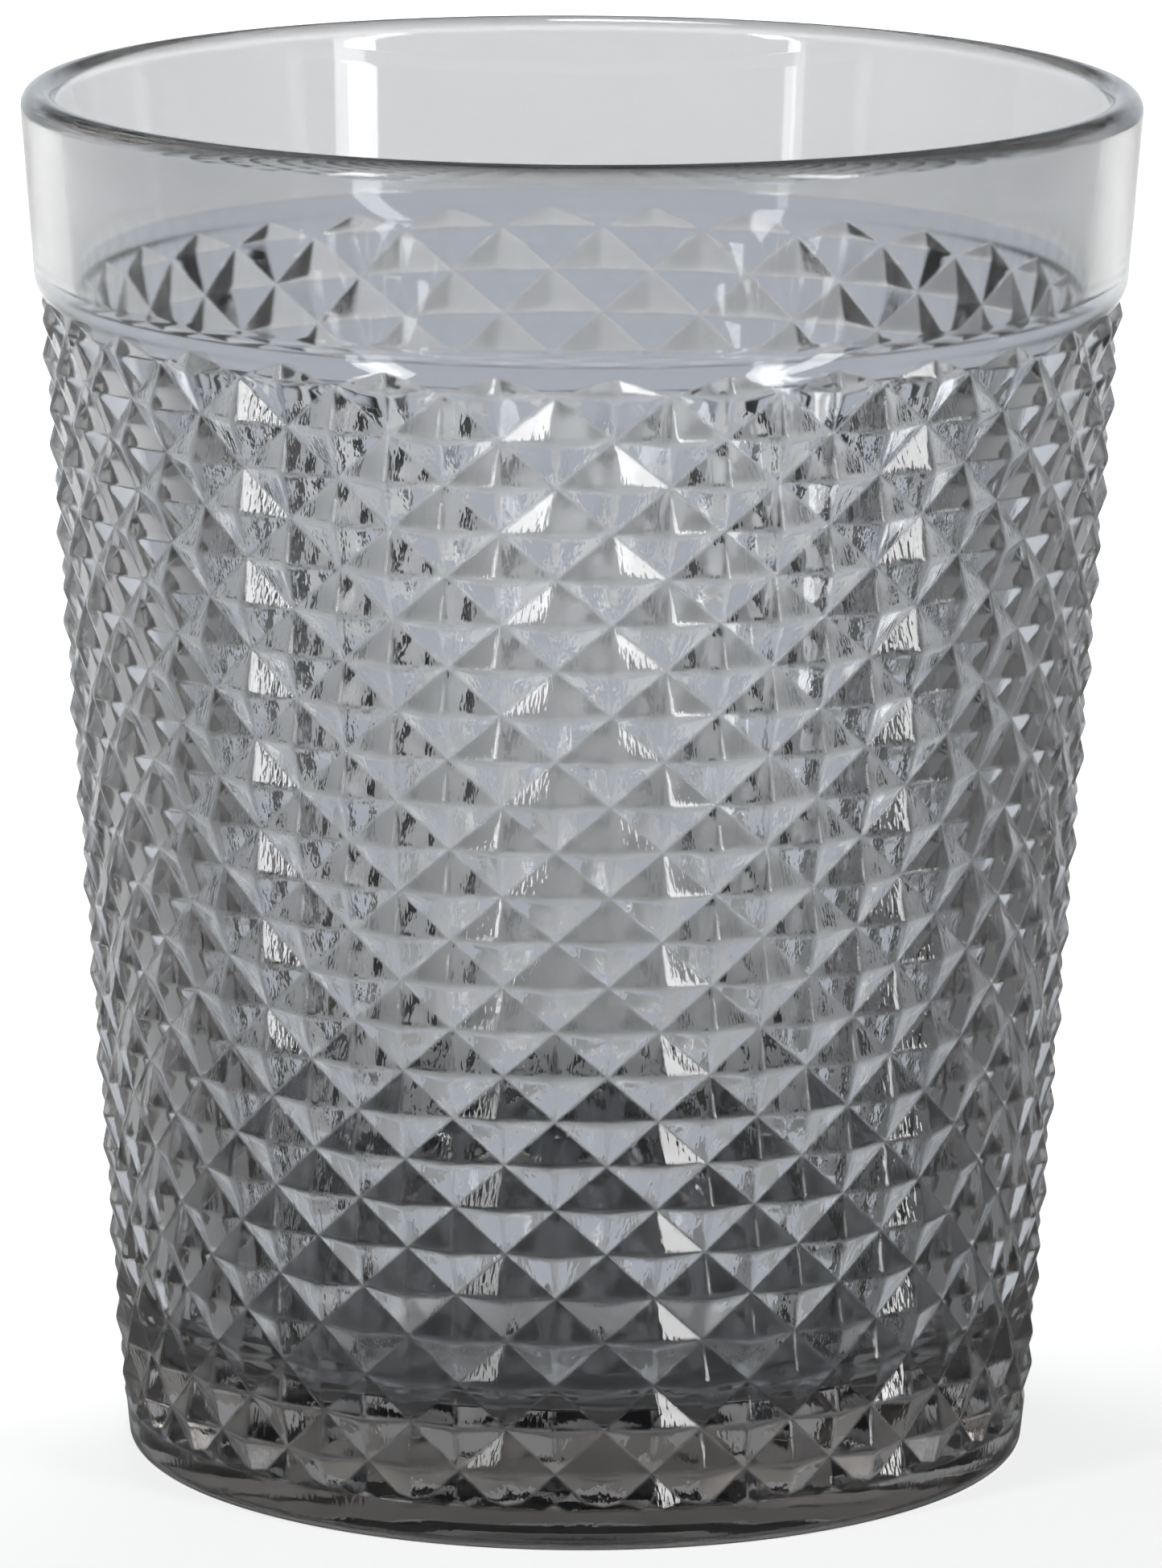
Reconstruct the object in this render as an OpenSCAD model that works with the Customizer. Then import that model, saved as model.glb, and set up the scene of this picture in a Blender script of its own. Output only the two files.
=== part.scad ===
// Whiskey tumbler: one piece of pressed smoky glass, with a rounded lip over a plain band,
// an all-over field of four-sided diamond points, and a plain foot. Millimetres, +Z up.
// The origin is on the axis, on the plane that the foot ring rests on.

/* [Overall] */
// Height from the table to the top of the lip
height = 102; // [86:0.5:126]
// Outside diameter where the rounding of the lip starts
rim_d = 82.4; // [72:0.2:100]
// Outside diameter at the top of the plain foot
foot_d = 67.6; // [56:0.2:78]

/* [Lip and band] */
// Thickness of the fire-polished lip
lip_t = 2.6; // [2.2:0.1:3.4]
// Height of the plain band, from the top of the lip to the rounding of its lower edge
band_h = 13.1; // [10:0.1:20]
// How far the band stands out over the groove floors
band_step = 1.5; // [1.2:0.05:1.8]
// Rounding of the lower edge of the band
band_edge_r = 3.4; // [2:0.1:5]
// Radius of the cove under it
cove_r = 4.4; // [3:0.1:6]

/* [Walls] */
// Wall at the inner floor, from the taper line to the inside
wall_foot = 3.8; // [3:0.1:5]
// Thickness of the base, from the table to the inner floor
base_t = 9; // [6:0.5:15]
// Radius between the inner wall and the inner floor
floor_r = 4; // [2:0.5:8]

/* [Diamond points] */
// Diamonds in one ring
points_around = 30; // [20:1:40]
// Diamonds stacked in one column
points_high = 12; // [8:1:15]
// Height of the lowest points over the groove floors
relief = 0.9; // [0.7:0.02:1.1]
// Height of the topmost points over the groove floors
relief_top = 1.24; // [1:0.02:1.5]
// Turn of the pattern about the axis, in degrees
pattern_turn = -2.5; // [-6:0.02:6]

/* [Foot] */
// Height of the plain foot, up to its shoulder
foot_h = 3.2; // [2.6:0.1:5]
// Height of the lowest diamond tips, hidden by the shoulder
tip_h = 2.5; // [2:0.1:4]
// How far the foot stands out over the groove floors
foot_step = 0.5; // [0.4:0.05:0.9]
// How much the foot draws in from its shoulder to the table
foot_draft = 0.25; // [0:0.05:0.6]
// Rounding of the bottom edge
edge_r = 0.8; // [0.4:0.1:1.4]
// Width of the flat ring that the glass stands on
ring_w = 5; // [3:0.5:8]
// Rise of the domed underside inside that ring
dome_h = 1.4; // [0.6:0.1:3]

/* [Hidden] */
$fn = 180;

// The front of the glass faces -Y, so angles count from there, to the right
FRONT = -90;
// The shoulder leans outwards by this much for each millimetre of height
SHOULDER_LEAN = 0.3;
// Depth of the plain core under the groove floors
CORE_INSET = 0.2;
// Glass left between the inner wall and the inner face of the diamond sleeve
LINING_GAP = 0.3;
// The cove bottoms out this far under the groove floors, this far below the topmost groove crossings,
// and runs on below that by these degrees
COVE_SEAT = 0.08;
COVE_LAP = 1.3;
COVE_RUN = 2;
// Points along each rounding of the turned outline
ARC_STEPS = 12;

// Taper line of the outside, from the shoulder of the foot to the lip
lip_r = lip_t / 2;
lip_z = height - lip_r;
rim_r = rim_d / 2;
foot_r = foot_d / 2;
taper = (rim_r - foot_r) / (lip_z - foot_h);
function taper_r(z) = foot_r + taper * (z - foot_h);

// Rounded lower edge of the band, the cove that it runs into, and the top row of groove crossings
band_z = height - band_h;
band_r = taper_r(band_z);
cove_reach = band_edge_r + cove_r;
cove_angle = acos(1 - (band_step + COVE_SEAT) / cove_reach);
cove_z = band_z - cove_reach * sin(cove_angle);
field_top_z = cove_z + COVE_LAP;

// Groove floors lie on a cone between the foot and the cove
groove_low_r = foot_r - foot_step;
groove_top_r = band_r - band_step;
groove_slope = (groove_top_r - groove_low_r) / (field_top_z - tip_h);
function groove_r(z) = groove_low_r + groove_slope * (z - tip_h);
function core_point(z) = [groove_r(z) - CORE_INSET, z];

// Inner wall: a straight taper from the rounding of the lip down to the floor
lip_c = [rim_r - lip_r, lip_z];
floor_wall_r = taper_r(base_t) - wall_foot;
wall_run = lip_c - [floor_wall_r, base_t];
wall_angle = atan(wall_run[0] / wall_run[1]) - asin(lip_r / norm(wall_run));
inner_slope = tan(wall_angle);
function inner_r(z) = floor_wall_r + inner_slope * (z - base_t);
fillet_c = [floor_wall_r + floor_r * (inner_slope - sqrt(1 + pow(inner_slope, 2))), base_t + floor_r];

// Foot ring and the sphere that domes the underside
base_r = foot_r - foot_draft;
dome_r = base_r - edge_r - ring_w;
dome_sphere_r = (pow(dome_r, 2) + pow(dome_h, 2)) / (2 * dome_h);
dome_angle = asin(dome_r / dome_sphere_r);

// Lattice of the pattern: rows half a diamond apart, columns half a diamond apart
columns = 2 * points_around;
column_angle = 360 / columns;
row_h = (field_top_z - tip_h) / (2 * points_high + 1);
last_row = 2 * points_high + 2;
row_list = [0 : last_row];
column_list = [0 : columns - 1];

function row_z(row) = tip_h + row * row_h;
function is_point(row, column) = (row + column) % 2 == 0;

// Points stand out more from row to row, as they get wider.
// The row above the pattern falls in instead, under the cove
function point_rise(row) =
    row == last_row ? -relief_top / 2 : relief + (relief_top - relief) * row / (last_row - 1);
function lattice_r(row, column) = groove_r(row_z(row)) + (is_point(row, column) ? point_rise(row) : 0);

function around(r, column, z) =
    let (a = FRONT + pattern_turn + column * column_angle) [r * cos(a), r * sin(a), z];

function arc(centre, r, from, to) =
    [for (i = [0 : ARC_STEPS]) let (a = from + (to - from) * i / ARC_STEPS) centre + r * [cos(a), sin(a)]];

// Outline of the turned blank, from the centre of the underside out, up, over the lip and down inside
function blank_outline() = concat(
    arc([0, dome_h - dome_sphere_r], dome_sphere_r, 90, 90 - dome_angle),
    arc([base_r - edge_r, edge_r], edge_r, -90, 0),
    [[foot_r, foot_h], core_point(foot_h + foot_step), core_point(cove_z - CORE_INSET * 2)],
    arc([groove_top_r - COVE_SEAT + cove_r, cove_z], cove_r, 180 + COVE_RUN, 180 - cove_angle),
    arc([band_r - band_edge_r, band_z], band_edge_r, -cove_angle, 0),
    arc(lip_c, lip_r, 0, 180 - wall_angle),
    arc(fillet_c, floor_r, -wall_angle, -90),
    [[0, base_t]]
);

// Closed sleeve of diamond points: its outer skin is the lattice, its inner face lies inside the wall
module diamond_sleeve() {
    inner_start = (last_row + 1) * columns;
    outer_pts = [for (row = row_list, column = column_list)
        around(lattice_r(row, column), column, row_z(row))];
    inner_pts = [for (row = [0, last_row], column = column_list)
        around(inner_r(row_z(row)) + LINING_GAP, column, row_z(row))];
    skin = [for (row = [0 : last_row - 1], column = column_list)
        let (next = (column + 1) % columns,
             a = row * columns + column,
             b = row * columns + next,
             c = (row + 1) * columns + next,
             d = (row + 1) * columns + column)
        each is_point(row, column) ? [[a, d, b], [d, c, b]] : [[a, c, b], [a, d, c]]];
    lining = [for (column = column_list)
        let (next = (column + 1) % columns,
             a = inner_start + column,
             b = inner_start + next)
        each [[a, b, b + columns], [a, b + columns, a + columns]]];
    ends = [for (column = column_list)
        let (next = (column + 1) % columns,
             top = last_row * columns,
             a = inner_start + column,
             b = inner_start + next)
        each [[column, next, b], [column, b, a],
              [top + next, top + column, a + columns], [top + next, a + columns, b + columns]]];
    polyhedron(points = concat(outer_pts, inner_pts), faces = concat(skin, lining, ends));
}

// Ring turned off the lowest points, so that they run out on the shoulder of the foot
module shoulder_ring() {
    below = foot_h - tip_h + 1;
    above = 3 * relief / SHOULDER_LEAN;
    rotate_extrude()
        polygon([[foot_r - SHOULDER_LEAN * below, foot_h - below],
                 [foot_r + SHOULDER_LEAN * above, foot_h + above],
                 [foot_r + SHOULDER_LEAN * above + relief, foot_h - below]]);
}

module glass_body() {
    color([0.44, 0.44, 0.46, 0.6])
    union() {
        rotate_extrude() polygon(blank_outline());
        difference() {
            diamond_sleeve();
            shoulder_ring();
        }
    }
}

glass_body();
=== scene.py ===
"""Looks of the whiskey tumbler: one closed body of pressed smoky glass on a white studio table.

Sizes are in millimetres, as in the part's source, and become metres where a mesh is made.
"""

import logging
import math
from dataclasses import dataclass
from enum import Enum
from typing import Any

import bpy
import numpy as np
from mathutils import Matrix


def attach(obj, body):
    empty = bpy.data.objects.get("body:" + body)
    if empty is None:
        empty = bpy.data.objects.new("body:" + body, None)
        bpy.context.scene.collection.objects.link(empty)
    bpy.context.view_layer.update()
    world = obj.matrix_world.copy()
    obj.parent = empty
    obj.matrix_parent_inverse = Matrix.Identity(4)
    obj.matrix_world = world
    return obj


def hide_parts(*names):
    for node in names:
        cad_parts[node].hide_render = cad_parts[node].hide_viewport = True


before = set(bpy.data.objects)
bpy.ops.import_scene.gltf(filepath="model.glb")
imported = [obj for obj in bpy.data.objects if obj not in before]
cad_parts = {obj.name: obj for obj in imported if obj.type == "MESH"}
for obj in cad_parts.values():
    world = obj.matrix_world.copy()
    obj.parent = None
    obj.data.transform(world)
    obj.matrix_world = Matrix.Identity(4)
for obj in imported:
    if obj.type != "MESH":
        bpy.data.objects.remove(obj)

LOG = logging.getLogger("tumbler")
MM = 0.001
TINY = 1e-9  # lengths and shares below this count as none
FRONT = -math.pi / 2  # the front of the glass faces -Y, and angles count from there to the right
LONG_RUN = 4  # a straight run is long from this many times the ease of its ends


class Join(Enum):
    """How one solid acts on another."""

    ADD = "UNION"
    CUT = "DIFFERENCE"


@dataclass(frozen=True)
class Shell:
    """A closed surface in millimetres.

    Args:
        points: One row of x, y and z for each point.
        faces: Arrays of point numbers, one row for each face, counter-clockwise from outside.
    """

    points: np.ndarray
    faces: tuple[np.ndarray, ...]


def linear(colour: str) -> tuple[float, float, float, float]:
    """Turns an sRGB hex colour to linear light.

    Args:
        colour: The colour, such as "#808080".

    Returns:
        Red, green, blue and an alpha of 1.
    """
    shares = [int(colour[i:i + 2], 16) / 255 for i in (1, 3, 5)]
    light = [s / 12.92 if s <= 0.04045 else ((s + 0.055) / 1.055) ** 2.4 for s in shares]
    return (light[0], light[1], light[2], 1.0)


def add_node(
    tree: bpy.types.NodeTree, kind: str, inputs: dict[Any, Any], **settings: Any
) -> bpy.types.Node:
    """Adds a node with its settings and links.

    Args:
        tree: The tree to add it to.
        kind: Blender's name for the kind of node.
        inputs: A value, or an output socket to link, for each input's name or number.
        settings: The node's own settings.

    Returns:
        The new node.
    """
    made = tree.nodes.new(kind)
    for name, value in settings.items():
        setattr(made, name, value)
    for name, value in inputs.items():
        if isinstance(value, bpy.types.NodeSocket):
            tree.links.new(value, made.inputs[name])
        else:
            made.inputs[name].default_value = value
    return made


def arc(
    centre: tuple[float, float], radius: float, start: float, end: float, steps: int
) -> np.ndarray:
    """Points of an arc: the centre plus the radius, turned evenly from the start angle to the end angle.

    Args:
        centre: Radius and height of the centre.
        radius: Radius of the arc.
        start: First angle, in degrees from outwards towards up.
        end: Last angle.
        steps: Number of steps between them.

    Returns:
        One row of radius and height for each point.
    """
    angle = np.radians(np.linspace(start, end, steps + 1))
    return np.column_stack((centre[0] + radius * np.cos(angle), centre[1] + radius * np.sin(angle)))


def kept_straight(outline: np.ndarray, ease: float) -> np.ndarray:
    """Adds a point near each end of every long run of an outline, so that its smooth shading stays straight.

    Args:
        outline: Rows of radius and height.
        ease: Distance of the new points from the ends. Runs that aren't long for it stay as they are.

    Returns:
        The outline with the new points.
    """
    run = np.diff(outline, axis=0)
    length = np.hypot(*run.T)
    share = (ease / np.maximum(length, TINY))[:, None]
    made = np.stack((outline[:-1], outline[:-1] + share * run, outline[1:] - share * run), axis=1)
    keep = np.ones((len(run), 3), bool)
    keep[length < LONG_RUN * ease, 1:] = False
    return np.vstack((made[keep], outline[-1:]))


def turned(outline: np.ndarray, columns: int) -> Shell:
    """Carries an outline round the axis: each point becomes a ring of its own radius and height.

    Args:
        outline: Rows of radius and height. It runs up on the outside, and it either starts and ends on the
            axis, where a pole closes it, or it is a loop.
        columns: Number of columns round the axis.

    Returns:
        The turned surface.
    """
    poles = bool(outline[0, 0] < TINY and outline[-1, 0] < TINY)
    profile = outline[1:-1] if poles else outline
    angle = np.linspace(0, 2 * math.pi, columns, endpoint=False)
    rings = len(profile)
    points = np.empty((rings, columns, 3))
    points[..., 0] = profile[:, :1] * np.cos(angle)
    points[..., 1] = profile[:, :1] * np.sin(angle)
    points[..., 2] = profile[:, 1:]
    number = np.arange(rings * columns).reshape(rings, columns)
    low = number[:-1] if poles else number
    high = number[1:] if poles else np.roll(number, -1, axis=0)
    quads = np.stack((low, np.roll(low, -1, axis=1), np.roll(high, -1, axis=1), high), axis=-1)
    quads = quads.reshape(-1, 4)
    points = points.reshape(-1, 3)
    if not poles:
        return Shell(points, (quads,))
    first, last = len(points), len(points) + 1
    bottom = np.column_stack((np.full(columns, first), np.roll(number[0], -1), number[0]))
    top = np.column_stack((np.full(columns, last), number[-1], np.roll(number[-1], -1)))
    ends = np.array([[0, 0, outline[0, 1]], [0, 0, outline[-1, 1]]])
    return Shell(np.vstack((points, ends)), (quads, bottom, top))


def solid(name: str, shell: Shell) -> bpy.types.Object:
    """Puts a shell into a mesh object at the origin, in metres.

    Args:
        name: The object's name.
        shell: The surface in millimetres.

    Returns:
        The new object.
    """
    mesh = bpy.data.meshes.new(name)
    mesh.vertices.add(len(shell.points))
    mesh.vertices.foreach_set("co", (shell.points * MM).astype(np.float32).ravel())
    corners = np.concatenate([f.ravel() for f in shell.faces])
    widths = np.concatenate([np.full(len(f), f.shape[1]) for f in shell.faces])
    mesh.loops.add(len(corners))
    mesh.loops.foreach_set("vertex_index", corners.astype(np.int32))
    mesh.polygons.add(len(widths))
    mesh.polygons.foreach_set("loop_start", (np.cumsum(widths) - widths).astype(np.int32))
    mesh.update(calc_edges=True)
    mesh.validate()
    made = bpy.data.objects.new(name, mesh)
    bpy.context.scene.collection.objects.link(made)
    return made


def act(target: bpy.types.Object, how: Join, tool: bpy.types.Object) -> None:
    """Joins a tool solid to a target solid by a live Boolean.

    Args:
        target: The solid that changes.
        how: Whether the tool is added or cut away.
        tool: The solid that acts on it.
    """
    step = target.modifiers.new(how.name.lower(), "BOOLEAN")
    step.operation = how.value
    step.solver = "MANIFOLD"
    step.object = tool


@dataclass(frozen=True)
class PressedSmokedGlass:
    """Soda-lime glass, pressed in a mould, fire-polished, and stained smoky grey at its surface.

    The stain greys the light that passes each face, so every wall looks alike, however thick it is. The melt
    itself is nearly clear with a brown cast, which shows only in the depth of the base.

    Args:
        name: The material's name.
        ior: Refractive index of soda-lime glass.
        roughness: Fire-polished glass has next to none.
        stain: Colour of the light that passes one wall, out of white.
        cast: Colour of the light that the melt lets through.
        depth: How much the melt takes away, for each millimetre.
        edge: Radius of the worn edges of the mould, which draws soft light lines along ridges and grooves.
        streak: Width of the upright tool marks that the mould left on the diamonds. They blur what is seen
            through them and break up the highlights.
        streak_length: Their length, in widths.
        streak_rise: Their height.
    """

    name: str = "pressed_smoked_soda_lime_glass"
    ior: float = 1.52
    roughness: float = 0.0
    stain: str = "#DFE0E2"
    cast: str = "#AAA39C"
    depth: float = 0.03
    edge: float = 0.3
    streak: float = 0.3
    streak_length: float = 4.0
    streak_rise: float = 0.01

    STREAK_DETAIL = 1.0  # octaves of finer noise in the tool marks
    EDGE_SAMPLES = 4  # rays that smooth the worn edges

    def material(self, wall: tuple[float, float], top: float) -> bpy.types.Material:
        """Makes the material: stained glossy glass around a plain, slightly absorbing volume.

        The mould's marks are a noise in the object's own millimetres, stretched upwards. They lie outside a
        cone inside the wall, and below the plain band.

        Args:
            wall: Radius of that cone at the table, and how much it widens for each millimetre of height.
            top: Height where the marks end.

        Returns:
            The material.
        """
        made = bpy.data.materials.new(self.name)
        made.use_nodes = True
        tree = made.node_tree
        tree.nodes.clear()
        place = add_node(tree, "ShaderNodeTexCoord", {}).outputs["Object"]
        place = add_node(tree, "ShaderNodeVectorMath", {0: place, 1: (1 / MM,) * 3},
                         operation="MULTIPLY").outputs[0]
        z = add_node(tree, "ShaderNodeSeparateXYZ", {0: place}).outputs["Z"]
        level = add_node(tree, "ShaderNodeVectorMath", {0: place, 1: (1, 1, 0)},
                         operation="MULTIPLY").outputs[0]
        radius = add_node(tree, "ShaderNodeVectorMath", {0: level}, operation="LENGTH").outputs["Value"]
        cone = add_node(tree, "ShaderNodeMath", {0: z, 1: wall[1], 2: wall[0]},
                        operation="MULTIPLY_ADD").outputs[0]
        outside = add_node(tree, "ShaderNodeMath", {0: radius, 1: cone}, operation="GREATER_THAN").outputs[0]
        below = add_node(tree, "ShaderNodeMath", {0: z, 1: top}, operation="LESS_THAN").outputs[0]
        marked = add_node(tree, "ShaderNodeMath", {0: outside, 1: below}, operation="MULTIPLY").outputs[0]
        stretched = add_node(tree, "ShaderNodeVectorMath", {0: place, 1: (1, 1, 1 / self.streak_length)},
                             operation="MULTIPLY").outputs[0]
        marks = add_node(tree, "ShaderNodeTexNoise", {
            "Vector": stretched, "Scale": 1 / self.streak, "Detail": self.STREAK_DETAIL,
        })
        worn = add_node(tree, "ShaderNodeBevel", {"Radius": self.edge * MM}, samples=self.EDGE_SAMPLES)
        face = add_node(tree, "ShaderNodeBump", {
            "Strength": marked, "Distance": self.streak_rise * MM, "Height": marks.outputs[0],
            "Normal": worn.outputs[0],
        })
        glass = add_node(tree, "ShaderNodeBsdfPrincipled", {
            "Base Color": linear(self.stain), "Roughness": self.roughness, "IOR": self.ior,
            "Transmission Weight": 1.0, "Normal": face.outputs[0],
        })
        melt = add_node(tree, "ShaderNodeVolumeAbsorption", {
            "Color": linear(self.cast), "Density": self.depth / MM,
        })
        add_node(tree, "ShaderNodeOutputMaterial", {"Surface": glass.outputs[0], "Volume": melt.outputs[0]})
        return made


@dataclass(frozen=True)
class WhiteSheet:
    """Matt white paper: it scatters nearly all light evenly, so a glass leaves only a soft shadow on it.

    Args:
        name: The material's name.
        colour: Colour of the paper.
        lift: White that the camera sees over what the lamps give, so that the sheet ends up white.
    """

    name: str = "matt_white_paper"
    colour: str = "#F6F6F5"
    lift: float = 0.74

    def material(self) -> bpy.types.Material:
        """Makes the material: plain matt white, lifted where the camera sees it.

        Returns:
            The material.
        """
        made = bpy.data.materials.new(self.name)
        made.use_nodes = True
        tree = made.node_tree
        tree.nodes.clear()
        paper = add_node(tree, "ShaderNodeBsdfDiffuse", {"Color": linear(self.colour)})
        path = add_node(tree, "ShaderNodeLightPath", {})
        lift = add_node(tree, "ShaderNodeMath", {0: path.outputs["Is Camera Ray"], 1: self.lift},
                        operation="MULTIPLY")
        white = add_node(tree, "ShaderNodeEmission", {"Strength": lift.outputs[0]})
        both = add_node(tree, "ShaderNodeAddShader", {0: paper.outputs[0], 1: white.outputs[0]})
        add_node(tree, "ShaderNodeOutputMaterial", {"Surface": both.outputs[0]})
        return made


@dataclass
class GlassBody:
    """The tumbler: a turned blank with lip, band, cove and foot, joined to a sleeve of diamond points.

    Args:
        height: From the table to the top of the lip.
        rim_d: Outside diameter where the rounding of the lip starts.
        foot_d: Outside diameter at the top of the plain foot.
        lip_t: Thickness of the lip.
        band_h: Height of the plain band, from the top of the lip to the rounding of its lower edge.
        band_step: How far the band stands out over the groove floors.
        band_edge_r: Rounding of the lower edge of the band.
        cove_r: Radius of the cove under it.
        wall_foot: Wall at the inner floor, from the taper line to the inside.
        base_t: Thickness of the base.
        floor_r: Radius between the inner wall and the inner floor.
        points_around: Diamonds in one ring.
        points_high: Diamonds stacked in one column.
        relief: Height of the lowest points over the groove floors.
        relief_top: Height of the topmost points over the groove floors.
        pattern_turn: Turn of the pattern about the axis, in degrees.
        foot_h: Height of the plain foot, up to its shoulder.
        tip_h: Height of the lowest diamond tips, hidden by the shoulder.
        foot_step: How far the foot stands out over the groove floors.
        foot_draft: How much the foot draws in from its shoulder to the table.
        edge_r: Rounding of the bottom edge.
        ring_w: Width of the flat ring that the glass stands on.
        dome_h: Rise of the domed underside.
        ridge_ease: Share of a side that the rounding of a ridge takes up at the point.
        finish: The glass.
    """

    height: float = 102.0
    rim_d: float = 82.4
    foot_d: float = 67.6
    lip_t: float = 2.6
    band_h: float = 13.1
    band_step: float = 1.5
    band_edge_r: float = 3.4
    cove_r: float = 4.4
    wall_foot: float = 3.8
    base_t: float = 9.0
    floor_r: float = 4.0
    points_around: int = 30
    points_high: int = 12
    relief: float = 0.9
    relief_top: float = 1.24
    pattern_turn: float = -2.5
    foot_h: float = 3.2
    tip_h: float = 2.5
    foot_step: float = 0.5
    foot_draft: float = 0.25
    edge_r: float = 0.8
    ring_w: float = 5.0
    dome_h: float = 1.4
    ridge_ease: float = 0.06
    finish: PressedSmokedGlass = PressedSmokedGlass()

    SHOULDER_LEAN = 0.3  # the shoulder leans outwards by this much for each millimetre of height
    CORE_INSET = 0.2  # depth of the plain core under the groove floors
    LINING_GAP = 0.3  # glass between the inner wall and the inner face of the sleeve
    COVE_SEAT = 0.08  # the cove bottoms out this far under the groove floors,
    COVE_LAP = 1.3  # this far below the topmost groove crossings,
    COVE_RUN = 2.0  # and runs on below that by these degrees
    RING_MARGIN = 1.0  # the ring that is turned off reaches this far below the lowest tips,
    RING_REACH = 3  # and up to where the shoulder stands out by this many times the relief
    MARK_PART = 3  # the mould's marks start one part in this many of the wall, outside its inner face
    TURNED_COLUMNS = 260  # mesh columns of a turned shape
    ARC_STEPS = 12  # mesh lines along a rounding
    SIDE_STEPS = (0.0, 0.05, 0.14, 0.5, 0.86, 0.95, 1.0)  # mesh lines across one side and its mirror
    RUN_EASE = 0.1  # long straight runs of an outline get a mesh line this close to each end
    SHARP_EDGE = 20.0  # edges that turn by more degrees than this stay crisp

    def __post_init__(self) -> None:
        """Works out the taper line, the cone of the groove floors, the inner wall and the lattice."""
        self.rim_r = self.rim_d / 2
        self.foot_r = self.foot_d / 2
        self.lip_r = self.lip_t / 2
        self.lip_z = self.height - self.lip_r
        self.taper = (self.rim_r - self.foot_r) / (self.lip_z - self.foot_h)
        self.band_z = self.height - self.band_h
        self.band_r = self.taper_r(self.band_z)
        reach = self.band_edge_r + self.cove_r
        turn = math.acos(1 - (self.band_step + self.COVE_SEAT) / reach)
        self.cove_angle = math.degrees(turn)
        self.cove_z = self.band_z - reach * math.sin(turn)
        self.field_top_z = self.cove_z + self.COVE_LAP
        self.groove_low_r = self.foot_r - self.foot_step
        self.groove_top_r = self.band_r - self.band_step
        self.floor_wall_r = self.taper_r(self.base_t) - self.wall_foot
        across, up = self.rim_r - self.lip_r - self.floor_wall_r, self.lip_z - self.base_t
        self.wall_angle = math.atan(across / up) - math.asin(self.lip_r / math.hypot(across, up))
        self.inner_slope = math.tan(self.wall_angle)
        self.columns = 2 * self.points_around
        self.last_row = 2 * self.points_high + 2
        self.row_h = (self.field_top_z - self.tip_h) / (2 * self.points_high + 1)

    def taper_r(self, z: Any) -> Any:
        """Radius of the outside taper line: straight from the foot's shoulder to the lip."""
        return self.foot_r + self.taper * (z - self.foot_h)

    def groove_r(self, z: Any) -> Any:
        """Radius of the groove floors: a straight cone between the foot and the cove."""
        share = (z - self.tip_h) / (self.field_top_z - self.tip_h)
        return self.groove_low_r + (self.groove_top_r - self.groove_low_r) * share

    def inner_r(self, z: Any) -> Any:
        """Radius of the inner wall: a straight cone from the floor to the lip."""
        return self.floor_wall_r + self.inner_slope * (z - self.base_t)

    def blank(self) -> Shell:
        """The turned blank.

        Its outline runs from the centre of the underside along the dome, the foot ring and the foot, up the
        core that the diamonds hide, round the cove to the band, over the lip and down the inner wall to the
        floor.

        Returns:
            The closed blank.
        """
        base_r = self.foot_r - self.foot_draft
        dome_r = base_r - self.edge_r - self.ring_w
        sphere_r = (dome_r ** 2 + self.dome_h ** 2) / (2 * self.dome_h)
        dome_angle = math.degrees(math.asin(dome_r / sphere_r))
        lip_c = (self.rim_r - self.lip_r, self.lip_z)
        fillet_r = self.floor_wall_r + self.floor_r * (self.inner_slope - math.hypot(1, self.inner_slope))
        core_low = self.foot_h + self.foot_step
        core_high = self.cove_z - 2 * self.CORE_INSET
        lean = math.degrees(self.wall_angle)
        steps = self.ARC_STEPS
        return turned(kept_straight(np.vstack((
            arc((0, self.dome_h - sphere_r), sphere_r, 90, 90 - dome_angle, steps),
            arc((base_r - self.edge_r, self.edge_r), self.edge_r, -90, 0, steps // 2),
            [[self.foot_r, self.foot_h]],
            [[self.groove_r(core_low) - self.CORE_INSET, core_low]],
            [[self.groove_r(core_high) - self.CORE_INSET, core_high]],
            arc((self.groove_top_r - self.COVE_SEAT + self.cove_r, self.cove_z), self.cove_r,
                180 + self.COVE_RUN, 180 - self.cove_angle, steps),
            arc((self.band_r - self.band_edge_r, self.band_z), self.band_edge_r,
                -self.cove_angle, 0, steps)[1:],
            arc(lip_c, self.lip_r, 0, 180 - lean, 2 * steps),
            arc((fillet_r, self.base_t + self.floor_r), self.floor_r, -lean, -90, steps),
            [[0, self.base_t]],
        )), self.RUN_EASE), self.TURNED_COLUMNS)

    def shoulder_ring(self) -> Shell:
        """The ring turned off the lowest points, so that they run out on the shoulder of the foot.

        Its outline is a triangle: along the lean of the shoulder, and straight down outside it.

        Returns:
            The closed ring.
        """
        below = self.foot_h - self.tip_h + self.RING_MARGIN
        above = self.RING_REACH * self.relief / self.SHOULDER_LEAN
        low_r = self.foot_r - self.SHOULDER_LEAN * below
        high_r = self.foot_r + self.SHOULDER_LEAN * above
        return turned(np.array([
            [low_r, self.foot_h - below],
            [high_r + self.relief, self.foot_h - below],
            [high_r, self.foot_h + above],
        ]), self.TURNED_COLUMNS)

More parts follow.
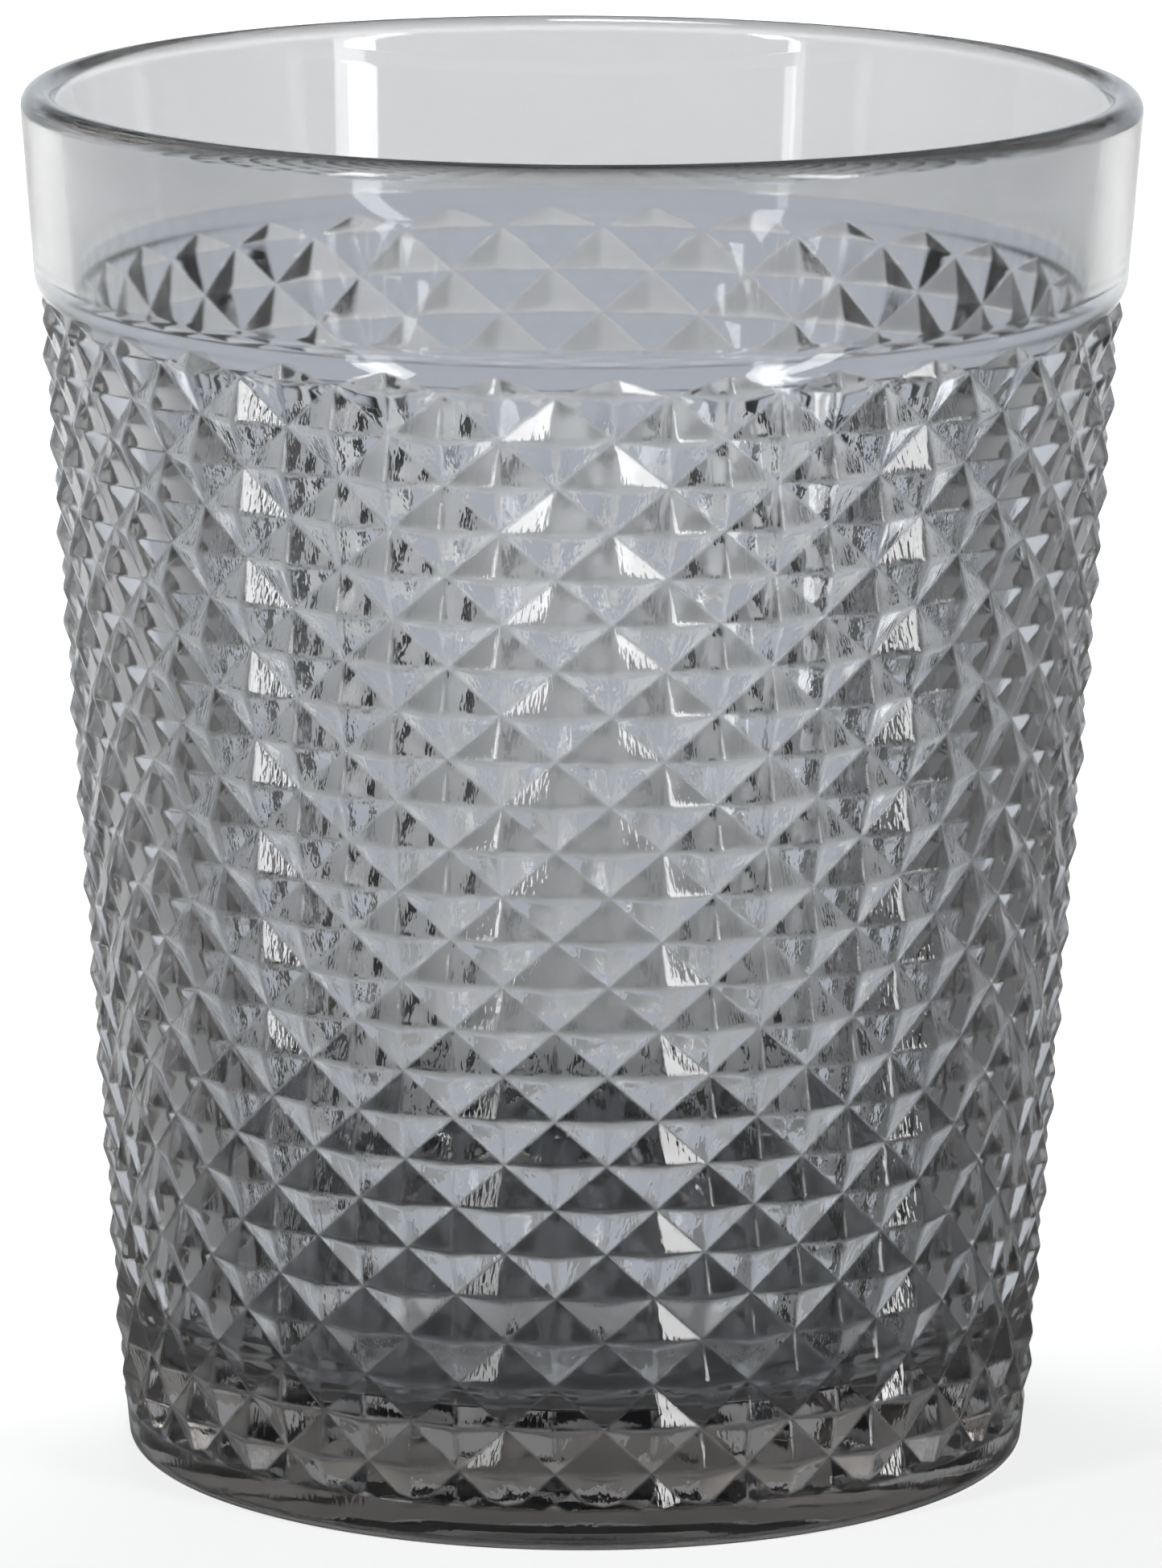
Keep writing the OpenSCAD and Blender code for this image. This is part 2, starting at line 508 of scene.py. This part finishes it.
    def lattice(self) -> tuple[np.ndarray, np.ndarray, np.ndarray]:
        """Corners of the diamond pattern.

        Corners lie on rows and columns half a diamond apart. Where row and column add up to an even number
        the corner is a point, which stands out by the relief, more from row to row as the diamonds get wider;
        the others are groove crossings, on the cone. The row above the pattern falls in instead, under the
        cove.

        Returns:
            The corners as rows by columns by x, y and z, which of them are points, and how far points rise.
        """
        row, column = np.mgrid[0:self.last_row + 1, 0:self.columns]
        is_point = (row + column) % 2 == 0
        z = self.tip_h + row * self.row_h
        cone_r = self.groove_r(z)
        rise = self.relief + (self.relief_top - self.relief) * row / (self.last_row - 1)
        rise[-1] = -self.relief_top / 2
        r = cone_r + np.where(is_point, rise, 0)
        angle = FRONT + math.radians(self.pattern_turn) + column * 2 * math.pi / self.columns
        return np.stack((r * np.cos(angle), r * np.sin(angle), z), axis=-1), is_point, rise

    @staticmethod
    def shifted(points: np.ndarray, out: Any) -> np.ndarray:
        """Moves points away from the axis: x and y grow in the share of the shift to their radius.

        Args:
            points: Points whose last axis is x, y and z.
            out: The shift, for all points or for each of them.

        Returns:
            The moved points.
        """
        r = np.hypot(points[..., :1], points[..., 1:2])
        grow = 1 + np.reshape(out, np.shape(out) + (1,) * (r.ndim - np.ndim(out))) / r
        return points * np.concatenate((grow, grow, np.ones_like(r)), axis=-1)

    def sleeve(self) -> Shell:
        """The closed sleeve of diamond points.

        Each side of a point is the plane between the point, the crossing beside it and the crossing over or
        under it. A place on it lies a share s of the way to the one and t of the way to the other. The ridges
        are rounded: there it sinks by the relief times hypot(s, e (1 - t)) - s + hypot(t, e (1 - s)) - t,
        where e is the ease, so a ridge is softest at the point and runs out sharp at a crossing. The grooves
        stay straight. A plain lining inside the wall closes the sleeve.

        Returns:
            The sleeve.
        """
        corner, is_point, rise = self.lattice()
        steps = np.array(self.SIDE_STEPS)
        n, rows, columns = len(steps) - 1, self.last_row, self.columns
        starts = is_point[:-1]
        left, right = corner, np.roll(corner, -1, axis=1)
        first = np.where(starts[..., None], left[:-1], right[:-1])
        beside = np.where(starts[..., None], right[:-1], left[:-1])
        over = np.where(starts[..., None], left[1:], right[1:])
        second = np.where(starts[..., None], right[1:], left[1:])

        across, up = np.meshgrid(steps, steps)
        a = np.where(starts[..., None, None], across, 1 - across)
        lower = (a + up <= 1 + TINY)[..., None]
        s = np.where(lower[..., 0], a, 1 - a)[..., None]
        t = np.where(lower[..., 0], up, 1 - up)[..., None]
        cell = (slice(None), slice(None), None, None)
        tip = np.where(lower, first[cell], second[cell])
        to_beside = np.where(lower, beside[cell], over[cell]) - tip
        to_over = np.where(lower, over[cell], beside[cell]) - tip
        e = self.ridge_ease
        sink = np.hypot(s, e * (1 - t)) - s + np.hypot(t, e * (1 - s)) - t
        sink = (sink * rise[:-1, :, None, None, None])[..., 0]
        place = self.shifted(tip + s * to_beside + t * to_over, -sink)

        body = place[:, :, :-1, :-1].transpose(0, 2, 1, 3, 4).reshape(rows * n, columns * n, 3)
        skin = np.concatenate((body, place[-1:, :, -1, :-1].reshape(1, columns * n, 3)))
        number = np.arange(skin.shape[0] * skin.shape[1]).reshape(skin.shape[:2])
        low_left, low_right = number[:-1], np.roll(number[:-1], -1, axis=1)
        top_left, top_right = number[1:], np.roll(number[1:], -1, axis=1)
        falls = np.repeat(np.repeat(starts, n, axis=0), n, axis=1)[..., None]
        under = np.stack((low_left, low_right, np.where(falls[..., 0], top_left, top_right)), axis=-1)
        upper = np.stack((np.where(falls[..., 0], low_right, low_left), top_right, top_left), axis=-1)

        rims = (number[0], number[-1])
        points = skin.reshape(-1, 3)
        lining = []
        for rim in rims:
            ring = points[rim]
            lining_r = self.inner_r(ring[:, 2]) + self.LINING_GAP
            lining.append(self.shifted(ring, lining_r - np.hypot(*ring[:, :2].T)))
        low = number.size + np.arange(len(rims[0]))
        high = low + len(low)
        ends = (
            np.column_stack((np.roll(low, -1), np.roll(rims[0], -1), rims[0], low)),
            np.column_stack((high, rims[1], np.roll(rims[1], -1), np.roll(high, -1))),
            np.column_stack((np.roll(low, -1), low, high, np.roll(high, -1))),
        )
        faces = (under.reshape(-1, 3), upper.reshape(-1, 3), np.vstack(ends))
        return Shell(np.vstack((points, *lining)), faces)

    def build(self) -> bpy.types.Object:
        """Joins the sleeve and the blank into one closed body of glass, at the place of the CAD node.

        Returns:
            The body, dressed and riding on the frame.
        """
        blank = solid("blank", self.blank())
        sleeve = solid("sleeve", self.sleeve())
        ring = solid("shoulder_ring", self.shoulder_ring())
        act(sleeve, Join.CUT, ring)
        act(blank, Join.ADD, sleeve)
        depsgraph = bpy.context.evaluated_depsgraph_get()
        mesh = bpy.data.meshes.new_from_object(blank.evaluated_get(depsgraph))
        for scrap in (blank, sleeve, ring):
            bpy.data.meshes.remove(scrap.data)
        mesh.name = "tumbler_glass"
        mesh.polygons.foreach_set("use_smooth", np.ones(len(mesh.polygons), bool))
        mesh.set_sharp_from_angle(angle=math.radians(self.SHARP_EDGE))
        body = bpy.data.objects.new("tumbler_glass", mesh)
        bpy.context.scene.collection.objects.link(body)
        self.dress(body)
        return body

    def dress(self, body: bpy.types.Object) -> None:
        """Gives the body its glass, and puts it on the frame in the place of the CAD node.

        Args:
            body: The joined body.
        """
        body.data.materials.clear()
        cone_r = self.floor_wall_r - self.inner_slope * self.base_t + self.wall_foot / self.MARK_PART
        body.data.materials.append(self.finish.material((cone_r, self.inner_slope), self.cove_z))
        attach(body, "root")
        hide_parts("glass_body")


@dataclass(frozen=True)
class Panel:
    """One part of the room, which shines evenly between soft edges. All angles are in degrees.

    Args:
        name: What the part is.
        turn: Direction of its middle, round from the camera to the right.
        half_width: How far it reaches to each side of that.
        rise: Heights over the horizon between which it starts.
        fall: Heights between which it ends.
        level: Its brightness, out of white.
    """

    name: str
    turn: float
    half_width: float
    rise: tuple[float, float]
    fall: tuple[float, float]
    level: float


@dataclass(frozen=True)
class Strip:
    """A strip lamp that faces the glass.

    Args:
        name: Which lamp it is.
        turn: Its direction, round from the camera to the right, in degrees.
        z: Height of its middle.
        lean: How far its top leans to the left, as the glass sees it, in degrees.
        size: Width and length.
        level: Its brightness, out of white.
    """

    name: str
    turn: float
    z: float
    lean: float
    size: tuple[float, float]
    level: float


@dataclass(frozen=True)
class Overhead:
    """A lamp with a grid that hangs over the sheet and lights it from above.

    Args:
        name: Which lamp it is.
        place: Place of its middle, to the right of the glass and behind it.
        size: Width and length.
        level: Its brightness, out of white.
    """

    name: str
    place: tuple[float, float]
    size: tuple[float, float]
    level: float


@dataclass
class Studio:
    """White sheet, dark room with white panels, strip lamps to the sides, lamps overhead, and the camera.

    Args:
        sheet_x: How far the sheet reaches to each side.
        sheet_y: Front and back edges of the sheet.
        panels: The bright parts of the room.
        panel_edge: Width of a panel's soft upright edges, in degrees.
        daylight: Colour of the panels' light.
        strips: The strip lamps.
        strip_stand: Distance of the strip lamps from the glass.
        overheads: The lamps over the sheet.
        overhead_z: Their height.
        overhead_spread: Angle that their grids let light out through, in degrees.
        camera_back: Distance of the camera in front of the axis.
        camera_z: Height of the camera.
        camera_down: How far the camera looks down, in degrees.
        camera_right: How far the camera looks to the right, in degrees.
        camera_roll: How far the camera is rolled, in degrees.
        lens: Focal length, for a frame whose long side is the sensor's.
    """

    sheet_x: float = 1500.0
    sheet_y: tuple[float, float] = (-1500.0, 850.0)
    panels: tuple[Panel, ...] = (
        Panel("sweep", 180.0, 62.0, (-12.0, -8.0), (10.0, 22.0), 0.97),
        Panel("left_side", -95.0, 24.0, (-4.0, -1.0), (14.0, 26.0), 0.65),
        Panel("right_side", 95.0, 24.0, (-4.0, -1.0), (12.0, 22.0), 0.45),
        Panel("front", 0.0, 75.0, (-4.0, -1.0), (38.0, 46.0), 0.18),
        Panel("ceiling", 0.0, 180.0, (36.0, 46.0), (56.0, 68.0), 0.12),
    )
    panel_edge: float = 8.0
    daylight: str = "#F2F8FF"
    strips: tuple[Strip, ...] = (
        Strip("left_strip", -44.8, 335.0, -10.0, (120.0, 290.0), 14.0),
        Strip("left_sliver", -49.5, 122.0, 0.0, (45.0, 125.0), 7.0),
        Strip("right_strip", 48.7, 245.0, 24.0, (105.0, 470.0), 13.0),
    )
    strip_stand: float = 900.0
    overheads: tuple[Overhead, ...] = (
        Overhead("near_overhead", (-40.0, 225.0), (115.0, 300.0), 1.95),
        Overhead("far_overhead", (-60.0, 590.0), (900.0, 600.0), 0.98),
        Overhead("left_overhead", (-330.0, 250.0), (300.0, 400.0), 0.85),
        Overhead("right_overhead", (330.0, 250.0), (300.0, 400.0), 0.38),
    )
    overhead_z: float = 500.0
    overhead_spread: float = 36.0
    camera_back: float = 744.2
    camera_z: float = 204.6
    camera_down: float = 11.757
    camera_right: float = 0.0142
    camera_roll: float = 0.3
    lens: float = 234.57

    GLASS_BOUNCES = 32  # lets light pass through many diamonds one behind the other
    GLOSS_BOUNCES = 16

    def build_sheet(self) -> None:
        """Lays the sheet at the height of the foot ring."""
        x, (front, back) = self.sheet_x, self.sheet_y
        points = np.array([[-x, front, 0], [x, front, 0], [x, back, 0], [-x, back, 0]])
        sheet = solid("white_sheet", Shell(points, (np.array([[0, 1, 2, 3]]),)))
        sheet.data.materials.append(WhiteSheet().material())

    def build_room(self) -> None:
        """Makes the room: the sum of its panels over the dark, and plain white where the camera sees it.

        A panel's share of a direction is a smooth step on the cosine of the turn between them, times two
        smooth steps on the height over the horizon.
        """
        world = bpy.data.worlds.new("panel_room")
        bpy.context.scene.world = world
        world.use_nodes = True
        tree = world.node_tree
        tree.nodes.clear()
        way = add_node(tree, "ShaderNodeTexCoord", {}).outputs["Generated"]
        level_way = add_node(tree, "ShaderNodeVectorMath", {0: way, 1: (1, 1, 0)},
                             operation="MULTIPLY").outputs[0]
        level_way = add_node(tree, "ShaderNodeVectorMath", {0: level_way}, operation="NORMALIZE").outputs[0]
        z = add_node(tree, "ShaderNodeSeparateXYZ", {0: way}).outputs["Z"]
        height = add_node(tree, "ShaderNodeMath", {0: z}, operation="ARCSINE").outputs[0]

        def step(value: bpy.types.NodeSocket, start: float, end: float) -> bpy.types.NodeSocket:
            """A smooth step of a value, from 0 at the start to 1 at the end."""
            return add_node(tree, "ShaderNodeMapRange", {"Value": value, "From Min": start, "From Max": end},
                            interpolation_type="SMOOTHSTEP").outputs[0]

        def combine(how: str, one: Any, two: Any) -> bpy.types.NodeSocket:
            """Two values put together by an operation of the Math node."""
            return add_node(tree, "ShaderNodeMath", {0: one, 1: two}, operation=how).outputs[0]

        total: Any = 0.0
        for panel in self.panels:
            turn, half, edge = np.radians((panel.turn, panel.half_width, self.panel_edge / 2))
            middle = (math.sin(turn), -math.cos(turn), 0)
            near = add_node(tree, "ShaderNodeVectorMath", {0: level_way, 1: middle},
                            operation="DOT_PRODUCT")
            share = step(near.outputs["Value"], math.cos(half + edge), math.cos(half - edge))
            share = combine("MULTIPLY", share, step(height, *np.radians(panel.rise)))
            ended = step(height, *np.radians(panel.fall))
            share = combine("MULTIPLY", share, combine("SUBTRACT", 1.0, ended))
            total = combine("ADD", total, combine("MULTIPLY", share, panel.level))
        room = add_node(tree, "ShaderNodeBackground", {"Color": linear(self.daylight), "Strength": total})
        white = add_node(tree, "ShaderNodeBackground", {"Color": (1, 1, 1, 1), "Strength": 1.0})
        path = add_node(tree, "ShaderNodeLightPath", {})
        seen = add_node(tree, "ShaderNodeMixShader", {
            0: path.outputs["Is Camera Ray"], 1: room.outputs[0], 2: white.outputs[0],
        })
        add_node(tree, "ShaderNodeOutputWorld", {"Surface": seen.outputs[0]})

    def add_lamp(
        self, name: str, size: tuple[float, float], level: float, place: Matrix
    ) -> bpy.types.Light:
        """Adds a rectangular lamp.

        Args:
            name: The lamp's name.
            size: Width and length.
            level: Its brightness, out of white: its power is that times pi times its area.
            place: Its place, shining along its own -Z.

        Returns:
            The lamp.
        """
        lamp = bpy.data.lights.new(name, "AREA")
        lamp.shape = "RECTANGLE"
        lamp.size, lamp.size_y = size[0] * MM, size[1] * MM
        lamp.energy = level * math.pi * lamp.size * lamp.size_y
        made = bpy.data.objects.new(name, lamp)
        made.matrix_world = place
        made.visible_camera = False
        bpy.context.scene.collection.objects.link(made)
        return lamp

    def build_lamps(self) -> None:
        """Stands the strip lamps to the sides of the camera, and hangs lamps with grids over the sheet."""
        for strip in self.strips:
            turn = Matrix.Rotation(math.radians(strip.turn), 4, "Z")
            stand = Matrix.Translation((0, -self.strip_stand * MM, strip.z * MM))
            upright = Matrix.Rotation(math.radians(90), 4, "X")
            lean = Matrix.Rotation(math.radians(strip.lean), 4, "Z")
            self.add_lamp(strip.name, strip.size, strip.level, turn @ stand @ upright @ lean)
        for over in self.overheads:
            place = Matrix.Translation((over.place[0] * MM, over.place[1] * MM, self.overhead_z * MM))
            lamp = self.add_lamp(over.name, over.size, over.level, place)
            lamp.spread = math.radians(self.overhead_spread)

    def build_camera(self) -> None:
        """Sets the camera where the photograph was taken from."""
        data = bpy.data.cameras.new("camera")
        data.lens = self.lens
        camera = bpy.data.objects.new("camera", data)
        bpy.context.scene.collection.objects.link(camera)
        aim = Matrix.Rotation(-math.radians(self.camera_right), 4, "Z")
        tilt = Matrix.Rotation(math.radians(90 - self.camera_down), 4, "X")
        roll = Matrix.Rotation(math.radians(self.camera_roll), 4, "Z")
        place = Matrix.Translation((0, -self.camera_back * MM, self.camera_z * MM))
        camera.matrix_world = place @ aim @ tilt @ roll
        bpy.context.scene.camera = camera

    def build(self) -> None:
        """Builds the sheet, the room, the lamps and the camera, and lets light pass through all the glass."""
        self.build_sheet()
        self.build_room()
        self.build_lamps()
        self.build_camera()
        scene = bpy.context.scene
        scene.view_settings.view_transform = "Standard"
        scene.cycles.max_bounces = self.GLASS_BOUNCES
        scene.cycles.transmission_bounces = self.GLASS_BOUNCES
        scene.cycles.glossy_bounces = self.GLOSS_BOUNCES


def main() -> None:
    """Builds the glass and the studio."""
    logging.basicConfig(level=logging.INFO, format="%(message)s")
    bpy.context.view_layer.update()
    body = GlassBody().build()
    LOG.info("%s: %d faces", body.name, len(body.data.polygons))
    Studio().build()
    LOG.info("studio: sheet, room, lamps and camera")


if __name__ == "__main__":
    main()
